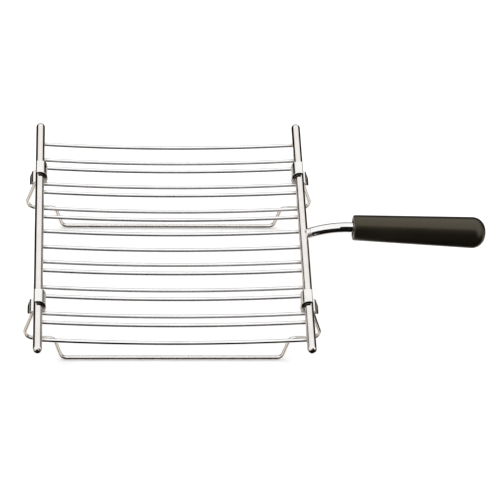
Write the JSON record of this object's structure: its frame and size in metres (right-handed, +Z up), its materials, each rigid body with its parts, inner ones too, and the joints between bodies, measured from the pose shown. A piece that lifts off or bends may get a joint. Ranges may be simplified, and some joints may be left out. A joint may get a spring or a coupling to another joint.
{
  "type": "grill basket",
  "caption": "Flat chrome wire grill basket with sagging cross wires between two side rods, folding wire feet on clips and a long side handle with a black grip.",
  "frame": {"origin": "on the ground, under the centre of the wire deck", "axes": "+X towards the handle, +Y to the back along the side rods, +Z up"},
  "size_m": [0.3525, 0.2454, 0.08],
  "materials": {
    "rod_chrome": "polished chrome plate",
    "wire_chrome": "bright chrome plate over drawn wire",
    "foot_chrome": "bright chrome plate over drawn wire",
    "clip_steel": "plated steel, tumbled",
    "grip_plastic": "fine satin grain"
  },
  "bodies": {
    "deck": {"side_rod_left": "rod_chrome", "side_rod_right": "rod_chrome", "cross_wire_01": "wire_chrome", "cross_wire_02": "wire_chrome", "cross_wire_03": "wire_chrome", "cross_wire_04": "wire_chrome", "cross_wire_05": "wire_chrome", "cross_wire_06": "wire_chrome", "cross_wire_07": "wire_chrome", "cross_wire_08": "wire_chrome", "cross_wire_09": "wire_chrome", "cross_wire_10": "wire_chrome", "cross_wire_11": "wire_chrome", "cross_wire_12": "wire_chrome", "cross_wire_13": "wire_chrome", "cross_wire_14": "wire_chrome", "cross_wire_15": "wire_chrome", "cross_wire_16": "wire_chrome", "foot_clip_back_left": "clip_steel", "foot_clip_back_right": "clip_steel", "foot_clip_front_left": "clip_steel", "foot_clip_front_right": "clip_steel", "handle_rod": "rod_chrome", "handle_collar": "rod_chrome", "handle_grip": "grip_plastic"},
    "foot_back": {"foot_wire_back": "foot_chrome"},
    "foot_front": {"foot_wire_front": "foot_chrome"}
  },
  "joints": [
    {"name": "foot_back_fold", "type": "hinge", "parent": "deck", "child": "foot_back", "pos_m": [0, 0.06935, 0.0545], "axis": [-1, 0, 0], "range_deg": [0, 80]},
    {"name": "foot_front_fold", "type": "hinge", "parent": "deck", "child": "foot_front", "pos_m": [0, -0.06935, 0.0545], "axis": [1, 0, 0], "range_deg": [0, 80]}
  ]
}
